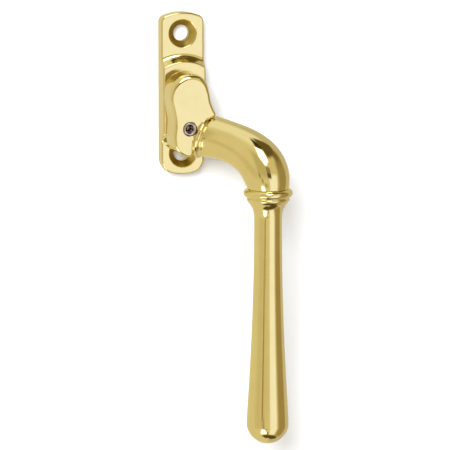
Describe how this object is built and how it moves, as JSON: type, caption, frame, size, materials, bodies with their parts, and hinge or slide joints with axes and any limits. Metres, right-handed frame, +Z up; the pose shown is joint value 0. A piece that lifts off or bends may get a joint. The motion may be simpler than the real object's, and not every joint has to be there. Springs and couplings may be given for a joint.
{
  "type": "window handle",
  "caption": "Cranked lockable window handle: stepped backplate, turning lever with a round neck and tapered grip, lock screw and square spindle.",
  "frame": {"origin": "on the pivot axis, in the plane of the backplate's rear face, halfway between the two fixing holes", "axes": "+Z up along the backplate, towards its upper fixing hole; +X right as seen from the front, towards the grip; -Y out of the mounting surface towards the hand, so the spindle points along +Y"},
  "size_m": [0.0415, 0.0783, 0.1523],
  "materials": {
    "polished_brass": "polished and lacquered, fine swirl marks",
    "steel": "bright drawn steel",
    "spring_steel": "blue-grey spring steel",
    "zinc_steel": "bright zinc plate",
    "screw_steel": "turned steel screw, darker in its socket",
    "acetal": "moulded natural acetal"
  },
  "bodies": {
    "plate": {"backplate": "polished_brass", "bearing_bush": "acetal", "wave_washer": "spring_steel"},
    "lever": {"lever_arm": "polished_brass", "grip": "polished_brass", "grip_stud": "steel", "spindle": "steel", "spindle_pin": "steel", "flat_washer": "zinc_steel", "snap_ring": "spring_steel"},
    "lock": {"lock_screw": "screw_steel"}
  },
  "joints": [
    {"name": "lever_turn", "type": "hinge", "parent": "plate", "child": "lever", "pos_m": [0, 0, 0], "axis": [0, -1, 0], "range_deg": [0, 90]},
    {"name": "lock_screw_travel", "type": "slide", "parent": "lever", "child": "lock", "axis": [0, 1, 0], "range_m": [0, 0.003]}
  ]
}
